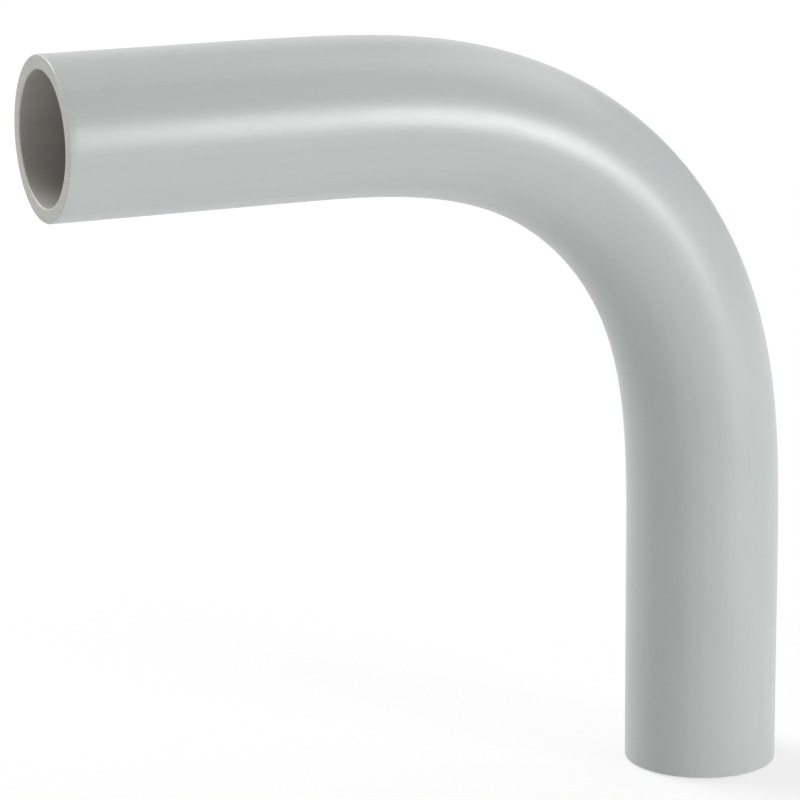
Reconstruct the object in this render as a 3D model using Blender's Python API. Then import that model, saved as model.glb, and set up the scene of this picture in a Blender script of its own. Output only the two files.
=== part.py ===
"""A 90 degree elbow for 20 mm rigid conduit: one length of grey PVC tube, bent hot, with two square-cut ends.

The lower end's face is centred on the origin and faces down. The tube rises from it along +Z and turns
towards -X, so the upper end faces -X. The bend lies in the XZ plane, and the elbow is symmetric about it.
"""

import math

import bmesh
import bpy
from mathutils import Matrix, Vector

# Driving dimensions, in metres.
OUTER_DIAMETER = 0.0200
WALL = 0.0018
BEND_RADIUS = 0.0420  # of the centreline at the middle of the bend, where it is tightest
STRAIGHT_END = 0.0238  # the unbent length behind each end's face
OUTER_CHAMFER = 0.00020
BORE_CHAMFER = 0.00020

# What hot bending does to the tube. Each share is the most there is, at the middle of the bend.
EASE_SHARE = 0.41  # of the bent length, at each end of it, over which the curvature grows to its most
OVALITY = 0.022  # how much flatter the tube is across the bend, and how much wider the other way
WALL_THINNING = 0.12  # how much thinner the wall is on the outside of the bend, and thicker on the inside

# How finely the round shape is divided.
SIDES = 48
BEND_STATIONS = 26
STEPS_PER_STATION = 40

TURN = math.radians(90)
BENT_LENGTH = TURN * BEND_RADIUS / (1 - EASE_SHARE)
ACROSS = Vector((0, 1, 0))

PVC_GREY = (0.364, 0.388, 0.384, 1.0)
PVC_ROUGHNESS = 0.33
SHARP_ANGLE = math.radians(30)


def clear_scene():
    for obj in list(bpy.data.objects):
        bpy.data.objects.remove(obj, do_unlink=True)


def curvature_share(along):
    """The curvature at a share of the bent length, from 0 where the bend starts to 1 at its tightest."""
    rise = min(along, 1 - along) / EASE_SHARE
    rise = max(0.0, min(1.0, rise))
    return rise * rise * (3 - 2 * rise)


def stations():
    """(centre, outward direction, curvature share) at each place along the tube where it has a section.

    The heading is summed up from the curvature, and the centreline from the heading, in steps much shorter
    than the distance between two stations.
    """
    centre = Vector((0, 0, 0))
    found = [(centre.copy(), Vector((1, 0, 0)), 0.0)]
    centre.z = STRAIGHT_END
    found.append((centre.copy(), Vector((1, 0, 0)), 0.0))

    steps = BEND_STATIONS * STEPS_PER_STATION
    step_length = BENT_LENGTH / steps
    heading = 0.0
    for step in range(steps):
        turn = curvature_share((step + 0.5) / steps) * step_length / BEND_RADIUS
        middle = heading + turn / 2
        centre += Vector((-math.sin(middle), 0, math.cos(middle))) * step_length
        heading += turn
        if (step + 1) % STEPS_PER_STATION == 0:
            outward = Vector((math.cos(heading), 0, math.sin(heading)))
            found.append((centre.copy(), outward, curvature_share((step + 1) / steps)))

    # The last piece is straight, and the turn is a right angle, so it runs along -X.
    end = centre + Vector((-STRAIGHT_END, 0, 0))
    found.append((end, Vector((0, 0, 1)), 0.0))
    return found


def section(bm, station, radius, ahead=0.0, eccentric=0.0):
    """The vertices of one ring round the tube, ahead of its station, and moved outwards in the bend."""
    centre, outward, bend = station
    forward = outward.cross(ACROSS)
    middle = centre + forward * ahead + outward * (eccentric * bend)
    flatter = outward * (1 - OVALITY * bend)
    wider = ACROSS * (1 + OVALITY * bend)
    place = Matrix.Translation(middle) @ Matrix((flatter, wider, forward)).transposed().to_4x4()
    return bmesh.ops.create_circle(bm, segments=SIDES, radius=radius, matrix=place)["verts"]


def skin_rings(bm, places, radius, chamfer, chamfer_radius, eccentric=0.0):
    """The rings of one skin from the lower end to the upper: a chamfer, the skin and a chamfer again."""
    first, *between, last = places
    rings = [
        section(bm, first, chamfer_radius),
        section(bm, first, radius, ahead=chamfer),
    ]
    rings += [section(bm, place, radius, eccentric=eccentric) for place in between]
    rings += [
        section(bm, last, radius, ahead=-chamfer),
        section(bm, last, chamfer_radius),
    ]
    return rings


def loft(bm, rings):
    """Faces between each ring and the next, and between the last and the first, which closes the wall."""
    for ring, following in zip(rings, rings[1:] + rings[:1]):
        for side in range(SIDES):
            before = side - 1
            bm.faces.new((ring[before], ring[side], following[side], following[before]))


def tube_mesh():
    """The tube's wall as one closed loft: up its outside, over the upper end's face, down its bore and back.

    It is a loft because its section changes: round at the ends and slightly oval in the bend, where the bore
    is off centre and the wall uneven.
    """
    outer = OUTER_DIAMETER / 2
    bore = outer - WALL
    places = stations()
    bm = bmesh.new()
    outside = skin_rings(bm, places, outer, OUTER_CHAMFER, outer - OUTER_CHAMFER)
    inside = skin_rings(bm, places, bore, BORE_CHAMFER, bore + BORE_CHAMFER, WALL * WALL_THINNING)
    loft(bm, outside + inside[::-1])
    bmesh.ops.recalc_face_normals(bm, faces=bm.faces)
    mesh = bpy.data.meshes.new("elbow_tube")
    bm.to_mesh(mesh)
    bm.free()
    mesh.shade_smooth()
    mesh.set_sharp_from_angle(angle=SHARP_ANGLE)
    return mesh


def pvc():
    material = bpy.data.materials.new("grey_pvc")
    material.use_nodes = True
    shader = material.node_tree.nodes["Principled BSDF"]
    shader.inputs["Base Color"].default_value = PVC_GREY
    shader.inputs["Roughness"].default_value = PVC_ROUGHNESS
    shader.inputs["Metallic"].default_value = 0.0
    material.diffuse_color = PVC_GREY
    return material


def main():
    clear_scene()
    collection = bpy.data.collections.new("conduit_elbow")
    bpy.context.scene.collection.children.link(collection)
    mesh = tube_mesh()
    mesh.materials.append(pvc())
    collection.objects.link(bpy.data.objects.new("elbow_tube", mesh))


main()
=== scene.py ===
"""The looks of a 90 degree elbow of grey rigid PVC conduit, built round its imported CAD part.

The tube is lofted again, finer than the CAD one, from the same rules: straight ends, an eased bend, a
slightly oval section and an uneven wall in the bend. Its cut ends get rounded lips and a saw's marks, and
its skins get the faint lines of the extruder.
"""

import math

import bmesh
import bpy
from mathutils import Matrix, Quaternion, Vector, noise

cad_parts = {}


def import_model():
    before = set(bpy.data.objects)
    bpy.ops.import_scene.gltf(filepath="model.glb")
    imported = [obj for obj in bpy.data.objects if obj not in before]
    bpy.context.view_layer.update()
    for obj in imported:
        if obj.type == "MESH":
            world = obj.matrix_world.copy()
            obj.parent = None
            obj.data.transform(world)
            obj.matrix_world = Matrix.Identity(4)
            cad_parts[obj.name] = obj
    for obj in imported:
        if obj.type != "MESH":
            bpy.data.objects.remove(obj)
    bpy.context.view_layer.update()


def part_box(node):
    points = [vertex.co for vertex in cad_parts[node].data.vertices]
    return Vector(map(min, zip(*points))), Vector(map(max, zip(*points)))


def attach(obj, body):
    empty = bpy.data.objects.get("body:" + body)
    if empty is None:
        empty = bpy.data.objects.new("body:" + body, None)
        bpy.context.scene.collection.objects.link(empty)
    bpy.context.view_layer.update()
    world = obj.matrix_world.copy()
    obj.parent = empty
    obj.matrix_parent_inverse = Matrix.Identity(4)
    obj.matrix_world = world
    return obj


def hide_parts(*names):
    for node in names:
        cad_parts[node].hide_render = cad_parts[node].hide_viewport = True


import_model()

# ---- Sizes, in metres. The frame gives the tube's radius and how far a mouth is from the other leg's axis.
TUBE_LOW, TUBE_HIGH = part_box("elbow_tube")
OUTER_RADIUS = TUBE_HIGH.x
TAKE_OFF = -TUBE_LOW.x
WALL = 0.0018
BORE_RADIUS = OUTER_RADIUS - WALL
BEND_RADIUS = 0.0420
EASE_SHARE = 0.41
OVALITY = 0.022
WALL_THINNING = 0.12
OUTER_LIP = 0.00020
BORE_LIP = 0.00020
LIP_UNEVENNESS = 0.25  # of a lip's width, because the edges are broken by hand
LIP_WAVES = Vector((300, 300, 340))  # to the metre, in a lip's width: across the tube twice, and along it
LIP_SHIFT = Vector((7, 3, 0))  # to a place in the noise of the lips' own
WAVE = 0.00003  # how far the outer skin strays from its true shape at most, as hot bending leaves it
WAVE_LENGTH = 0.018

SIDES = 144
BEND_STATIONS = 112
STEPS_PER_STATION = 10
STRAIGHT_STATIONS = 20
LIP_STEPS = 4
FACE_STEPS = 5

TURN = math.radians(90)
BENT_LENGTH = TURN * BEND_RADIUS / (1 - EASE_SHARE)
ACROSS = Vector((0, 1, 0))
SHARP_ANGLE = math.radians(50)

# ---- The camera.
CAMERA_PLACE = Vector((-0.21811, -0.37560, 0.15128))
CAMERA_AIM = Vector((-0.04381, 0.0, 0.05348))
CAMERA_ROLL = math.radians(-0.521)
SENSOR_WIDTH = 36.0
LENS = 152.78

# ---- The lights, all aimed at the elbow: name, compass angle and height in degrees, distance, side length
# and power. A compass angle of 0 is on the -Y side of the elbow, and 90 on the +X side.
LIGHT_AIM = Vector((-0.035, 0, 0.06))
SOFTBOXES = (
    ("key", 30, 7, 1.0, 0.38, 7.0),
    ("left_back", -150, 50, 1.2, 0.7, 14.5),
    ("right_top", 90, 50, 1.2, 0.7, 2.0),
    ("right_back", 120, 38, 1.2, 0.4, 0.6),
    ("back", 150, 20, 1.2, 0.7, 0.7),
)
ROOM_GLOW = 0.50
FLOOR_RADIUS = 4.0
FLOOR_SIDES = 96
FLOOR_GAP = 0.0002  # under the lower mouth
FLOOR_GREY = (0.20, 0.20, 0.20, 1.0)
FLOOR_ROUGHNESS = 0.9
FLOOR_GLOW_NEAR = 0.71
FLOOR_GLOW_FAR = 0.90
FLOOR_GLOW_START = 0.4  # how far away the floor starts to brighten, until it is as white as the room
FLOOR_GLOW_END = 2.0


def clamp(value, low, high):
    return max(low, min(high, value))


# ---- The tube's shape.


def curvature_share(along):
    """The curvature at a share of the bent length, from 0 where the bend starts to 1 at its tightest."""
    rise = clamp(min(along, 1 - along) / EASE_SHARE, 0.0, 1.0)
    return rise * rise * (3 - 2 * rise)


def bend_stations():
    """(centre, outward direction, curvature share) along the bend alone, from the origin upwards."""
    centre = Vector((0, 0, 0))
    found = [(centre.copy(), Vector((1, 0, 0)), 0.0)]
    steps = BEND_STATIONS * STEPS_PER_STATION
    step_length = BENT_LENGTH / steps
    heading = 0.0
    for step in range(steps):
        turn = curvature_share((step + 0.5) / steps) * step_length / BEND_RADIUS
        middle = heading + turn / 2
        centre += Vector((-math.sin(middle), 0, math.cos(middle))) * step_length
        heading += turn
        if (step + 1) % STEPS_PER_STATION == 0:
            outward = Vector((math.cos(heading), 0, math.sin(heading)))
            found.append((centre.copy(), outward, curvature_share((step + 1) / steps)))
    return found


def stations():
    """(centre, outward, curvature share, distance along) from the lower mouth to the upper one."""
    bend = bend_stations()
    straight = TAKE_OFF - bend[-1][0].z
    found = []
    for step in range(STRAIGHT_STATIONS):
        height = straight * step / STRAIGHT_STATIONS
        found.append((Vector((0, 0, height)), Vector((1, 0, 0)), 0.0, height))
    for index, (centre, outward, share) in enumerate(bend):
        place = centre + Vector((0, 0, straight))
        found.append((place, outward, share, straight + BENT_LENGTH * index / BEND_STATIONS))
    bend_end = found[-1][0]
    for step in range(1, STRAIGHT_STATIONS + 1):
        further = straight * step / STRAIGHT_STATIONS
        place = bend_end + Vector((-further, 0, 0))
        found.append((place, Vector((0, 0, 1)), 0.0, straight + BENT_LENGTH + further))
    return found


class TubeBuilder:
    """Collects rings of vertices, each with its place on the unbent tube, and joins them into one wall."""

    def __init__(self):
        self.bm = bmesh.new()
        self.unbent = self.bm.verts.layers.float_vector.new("unbent")
        self.cut = self.bm.verts.layers.float.new("cut")
        self.bore = self.bm.verts.layers.float.new("bore")
        self.edge = self.bm.verts.layers.float.new("edge")

    def ring(
        self, station, radius, ahead=0.0, uneven=0.0, eccentric=0.0, wave=0.0, cut=0.0, bore=0.0, edge=0.0
    ):
        """One ring: ahead moves it along the tube, uneven varies that, and wave strays its radius."""
        centre, outward, share, along = station
        forward = outward.cross(ACROSS)
        verts = []
        for side in range(SIDES):
            angle = 2 * math.pi * side / SIDES
            out, over = math.cos(angle), math.sin(angle)
            straight = Vector((out * OUTER_RADIUS, over * OUTER_RADIUS, along))
            stray = wave * noise.noise(straight / WAVE_LENGTH)
            shift = ahead + uneven * noise.noise(straight * LIP_WAVES + LIP_SHIFT)
            reach = radius + stray
            place = centre + forward * shift + outward * (eccentric * share)
            place = place + outward * (reach * (1 - OVALITY * share) * out)
            place = place + ACROSS * (reach * (1 + OVALITY * share) * over)
            vertex = self.bm.verts.new(place)
            vertex[self.unbent] = Vector((out * radius, over * radius, along + shift))
            vertex[self.cut] = cut
            vertex[self.bore] = bore
            vertex[self.edge] = edge
            verts.append(vertex)
        return verts

    def lip(self, station, inwards):
        """A mouth's rings from the outer skin to the bore: a rounded edge, the cut face, a rounded edge."""
        rings = []
        for step in range(LIP_STEPS + 1):
            share = step / LIP_STEPS
            angle = math.pi / 2 * share
            radius = OUTER_RADIUS - OUTER_LIP * (1 - math.cos(angle))
            back = OUTER_LIP * (1 - math.sin(angle))
            edge = 1 - abs(2 * share - 1)
            shift, uneven = inwards * back, inwards * back * LIP_UNEVENNESS
            rings.append(self.ring(station, radius, shift, uneven, cut=share, edge=edge))
        face_out, face_in = OUTER_RADIUS - OUTER_LIP, BORE_RADIUS + BORE_LIP
        for step in range(1, FACE_STEPS):
            radius = face_out + (face_in - face_out) * step / FACE_STEPS
            rings.append(self.ring(station, radius, cut=1.0))
        for step in range(LIP_STEPS + 1):
            share = step / LIP_STEPS
            angle = math.pi / 2 * share
            radius = BORE_RADIUS + BORE_LIP * (1 - math.sin(angle))
            back = BORE_LIP * (1 - math.cos(angle))
            edge = 1 - abs(2 * share - 1)
            shift, uneven = inwards * back, inwards * back * LIP_UNEVENNESS
            rings.append(self.ring(station, radius, shift, uneven, cut=1 - share, bore=share, edge=edge))
        return rings

    def loft(self, rings):
        for ring, following in zip(rings, rings[1:] + rings[:1]):
            for side in range(SIDES):
                before = side - 1
                self.bm.faces.new((ring[before], ring[side], following[side], following[before]))

    def mesh(self, name):
        bmesh.ops.recalc_face_normals(self.bm, faces=self.bm.faces)
        mesh = bpy.data.meshes.new(name)
        self.bm.to_mesh(mesh)
        self.bm.free()
        mesh.shade_smooth()
        mesh.set_sharp_from_angle(angle=SHARP_ANGLE)
        return mesh


def tube():
    builder = TubeBuilder()
    first, *between, last = stations()
    outside = [builder.ring(place, OUTER_RADIUS, wave=WAVE) for place in between]
    over_the_end = builder.lip(last, -1)
    inside = [
        builder.ring(place, BORE_RADIUS, eccentric=WALL * WALL_THINNING, bore=1.0)
        for place in reversed(between)
    ]
    round_the_start = builder.lip(first, 1)[::-1]
    builder.loft(outside + over_the_end + inside + round_the_start)
    piece = bpy.data.objects.new("bent_tube", builder.mesh("bent_tube"))
    bpy.context.scene.collection.objects.link(piece)
    return piece


# ---- Materials.


class Nodes:
    """Short calls for adding nodes to one material and wiring them."""

    def __init__(self, name):
        self.material = bpy.data.materials.new(name)
        self.material.use_nodes = True
        self.tree = self.material.node_tree
        self.shader = self.tree.nodes["Principled BSDF"]

    def add(self, kind, inputs=None, **settings):
        node = self.tree.nodes.new(kind)
        for name, value in settings.items():
            setattr(node, name, value)
        for key, value in (inputs or {}).items():
            if isinstance(value, bpy.types.NodeSocket):
                self.tree.links.new(value, node.inputs[key])
            else:
                node.inputs[key].default_value = value
        return node

    def attribute(self, name, output):
        return self.add("ShaderNodeAttribute", attribute_name=name).outputs[output]

    def noise(self, vector, waves, detail, roughness=0.5):
        """Noise from 0 to 1, with its own number of waves to the metre in each direction."""
        place = self.add("ShaderNodeVectorMath", {0: vector, 1: waves}, operation="MULTIPLY")
        inputs = {
            "Vector": place.outputs["Vector"],
            "Scale": 1.0,
            "Detail": detail,
            "Roughness": roughness,
        }
        return self.add("ShaderNodeTexNoise", inputs).outputs["Fac"]

    def spread(self, value, low, high, from_low=0.3, from_high=0.7):
        """The value, carried from its own range to the one from low to high.

        Its own range is the middle of a noise's, unless another is given.
        """
        inputs = {"Value": value, "To Min": low, "To Max": high, "From Min": from_low, "From Max": from_high}
        return self.add("ShaderNodeMapRange", inputs).outputs["Result"]

    def math(self, operation, first, second):
        return self.add("ShaderNodeMath", {0: first, 1: second}, operation=operation).outputs["Value"]

    def mix_colour(self, share, first, second):
        node = self.add("ShaderNodeMix", data_type="RGBA")
        for index, value in ((0, share), (6, first), (7, second)):
            if isinstance(value, bpy.types.NodeSocket):
                self.tree.links.new(value, node.inputs[index])
            else:
                node.inputs[index].default_value = value
        return node.outputs[2]

    def about_one(self, value, stray):
        """A noise's value, carried to a factor that strays from 1 either way."""
        return self.spread(value, 1 - stray, 1 + stray)

    def tint(self, colour, factor):
        node = self.add("ShaderNodeVectorMath", {0: colour, "Scale": factor}, operation="SCALE")
        return node.outputs["Vector"]

    def bump(self, height, distance, normal=None):
        inputs = {"Height": height, "Distance": distance, "Strength": 1.0}
        if normal is not None:
            inputs["Normal"] = normal
        return self.add("ShaderNodeBump", inputs).outputs["Normal"]

    def set(self, name, value):
        if isinstance(value, bpy.types.NodeSocket):
            self.tree.links.new(value, self.shader.inputs[name])
        else:
            self.shader.inputs[name].default_value = value


PVC_GREY = (0.364, 0.388, 0.384, 1.0)
CUT_GREY = (0.390, 0.396, 0.372, 1.0)
# A paler grey at the mouths' rounded edges: partly the whitening and chips of a sawn edge, partly a painted
# highlight on the lips.
WORN_AND_HIGHLIT_EDGE_GREY = (0.600, 0.605, 0.585, 1.0)
# Inside the bore the PVC is painted darker and warmer: painted shade and warm bounced light in the tube.
BORE_GREY_WITH_PAINTED_SHADE = (0.355, 0.342, 0.315, 1.0)

# The patterns on the unbent tube, each by its waves to the metre: in X and Y across it, and in Z along it.
DRAW_LINES = (1700, 1700, 9)
BROAD_LINES = (480, 480, 4)
MOTTLE = (130, 130, 60)
RUBS = (700, 700, 230)
GRAIN = (2600, 2600, 2600)
SAW_MARKS = (3400, 260, 500)
CHIPS_AND_HIGHLIGHT = (900, 900, 900)

# How far each pattern takes a colour from its own value, as a share of that.
MOTTLE_TINT = 0.020
LINE_TINT = 0.012
SAW_TINT = 0.07
BORE_TINT = 0.04
LEAST_WEAR_AND_HIGHLIGHT = 0.15  # of the edge's paler grey, where its chips, whitening and painted highlight are least
MOST_WEAR_AND_HIGHLIGHT = 0.85

SKIN_ROUGHNESS = (0.30, 0.34)  # from one draw line to the next
MOTTLE_ROUGHER = 0.015
RUB_ROUGHER = 0.05
RUB_START = 0.45  # in the noise, where a rub begins
RUB_END = 0.75  # where it is full
CUT_ROUGHER = 0.25
BORE_ROUGHER = 0.06

# How high each pattern stands, in metres.
LINE_HEIGHT = 0.000004
GRAIN_HEIGHT = 0.000001
SAW_HEIGHT = 0.00003


def pvc():
    """Satin grey PVC.

    Each vertex carries its place on the unbent tube, so the extruder's lines follow the bend, and how much
    it belongs to the cut faces, to the bore and to a mouth's edges.
    """
    n = Nodes("satin_pvc")
    unbent = n.attribute("unbent", "Vector")
    cut = n.attribute("cut", "Fac")
    bore = n.attribute("bore", "Fac")
    edge = n.attribute("edge", "Fac")

    draw_lines = n.noise(unbent, DRAW_LINES, detail=2.0)
    broad_lines = n.noise(unbent, BROAD_LINES, detail=2.0)
    mottle = n.noise(unbent, MOTTLE, detail=4.0, roughness=0.6)
    rubbed = n.noise(unbent, RUBS, detail=3.0, roughness=0.6)
    grain = n.noise(unbent, GRAIN, detail=1.0)
    saw_marks = n.noise(unbent, SAW_MARKS, detail=3.0, roughness=0.6)
    chipped_and_highlit = n.noise(unbent, CHIPS_AND_HIGHLIGHT, detail=4.0, roughness=0.7)

    skin = n.tint(PVC_GREY[:3], n.about_one(mottle, MOTTLE_TINT))
    skin = n.tint(skin, n.about_one(draw_lines, LINE_TINT))
    skin = n.tint(skin, n.about_one(broad_lines, LINE_TINT))
    # The bore's colour carries painted shade, darker and warmer than the skin.
    inside = n.tint(BORE_GREY_WITH_PAINTED_SHADE[:3], n.about_one(broad_lines, BORE_TINT))
    face = n.tint(CUT_GREY[:3], n.about_one(saw_marks, SAW_TINT))
    # The mouths' edges turn paler in patches: partly wear, partly a painted highlight on the rounded lips.
    worn_and_highlit_edge = n.math("MULTIPLY", edge, n.spread(chipped_and_highlit, LEAST_WEAR_AND_HIGHLIGHT, MOST_WEAR_AND_HIGHLIGHT))
    colour = n.mix_colour(bore, skin, inside)
    colour = n.mix_colour(cut, colour, face)
    colour = n.mix_colour(worn_and_highlit_edge, colour, WORN_AND_HIGHLIT_EDGE_GREY)
    n.set("Base Color", colour)

    lines_roughness = n.spread(draw_lines, *SKIN_ROUGHNESS)
    roughness = n.math("ADD", lines_roughness, n.spread(mottle, -MOTTLE_ROUGHER, MOTTLE_ROUGHER))
    roughness = n.math("ADD", roughness, n.spread(rubbed, 0.0, RUB_ROUGHER, RUB_START, RUB_END))
    roughness = n.math("ADD", roughness, n.math("MULTIPLY", cut, CUT_ROUGHER))
    roughness = n.math("ADD", roughness, n.math("MULTIPLY", bore, BORE_ROUGHER))
    n.set("Roughness", roughness)

    normal = n.bump(draw_lines, LINE_HEIGHT)
    normal = n.bump(grain, GRAIN_HEIGHT, normal)
    normal = n.bump(n.math("MULTIPLY", saw_marks, cut), SAW_HEIGHT, normal)
    n.set("Normal", normal)
    return n.material


def floor_material():
    n = Nodes("studio_floor")
    n.set("Base Color", FLOOR_GREY)
    n.set("Roughness", FLOOR_ROUGHNESS)
    n.set("Specular IOR Level", 0.0)
    n.set("Emission Color", (1.0, 1.0, 1.0, 1.0))
    place = n.add("ShaderNodeTexCoord").outputs["Object"]
    away = n.add("ShaderNodeVectorMath", {0: place}, operation="LENGTH").outputs["Value"]
    glow = n.spread(away, FLOOR_GLOW_NEAR, FLOOR_GLOW_FAR, FLOOR_GLOW_START, FLOOR_GLOW_END)
    n.set("Emission Strength", glow)
    return n.material


# ---- Stage, lights and camera.


def floor():
    bpy.ops.mesh.primitive_circle_add(vertices=FLOOR_SIDES, radius=FLOOR_RADIUS, fill_type="NGON")
    disc = bpy.context.object
    disc.location.z = -FLOOR_GAP
    disc.name = "studio_floor"
    disc.data.materials.append(floor_material())


def softbox(name, compass, height, distance, side, power):
    compass, height = math.radians(compass), math.radians(height)
    level = math.cos(height)
    towards = Vector((math.sin(compass) * level, -math.cos(compass) * level, math.sin(height)))
    light = bpy.data.lights.new(name, "AREA")
    light.shape = "SQUARE"
    light.size = side
    light.energy = power
    lamp = bpy.data.objects.new(name, light)
    lamp.location = LIGHT_AIM + towards * distance
    lamp.rotation_euler = (-towards).to_track_quat("-Z", "Y").to_euler()
    lamp.visible_camera = False
    bpy.context.scene.collection.objects.link(lamp)


def lights():
    for softbox_values in SOFTBOXES:
        softbox(*softbox_values)
    bpy.context.scene.view_settings.view_transform = "Standard"


def world():
    """A white room: the camera sees it plain white, and it lights the elbow softly from all sides."""
    room = bpy.data.worlds.new("white_room")
    room.use_nodes = True
    tree = room.node_tree
    background = tree.nodes["Background"]
    background.inputs["Color"].default_value = (1, 1, 1, 1)
    ray = tree.nodes.new("ShaderNodeLightPath")
    glow = tree.nodes.new("ShaderNodeMapRange")
    glow.inputs["To Min"].default_value = ROOM_GLOW
    tree.links.new(ray.outputs["Is Camera Ray"], glow.inputs["Value"])
    tree.links.new(glow.outputs["Result"], background.inputs["Strength"])
    bpy.context.scene.world = room


def camera():
    data = bpy.data.cameras.new("camera")
    data.sensor_width = SENSOR_WIDTH
    data.lens = LENS
    eye = bpy.data.objects.new("camera", data)
    eye.location = CAMERA_PLACE
    aimed = (CAMERA_AIM - CAMERA_PLACE).to_track_quat("-Z", "Y")
    eye.rotation_mode = "QUATERNION"
    eye.rotation_quaternion = aimed @ Quaternion((0, 0, 1), CAMERA_ROLL)
    bpy.context.scene.collection.objects.link(eye)
    bpy.context.scene.camera = eye


def main():
    piece = tube()
    piece.data.materials.append(pvc())
    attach(piece, "root")
    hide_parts("elbow_tube")
    floor()
    lights()
    world()
    camera()


main()
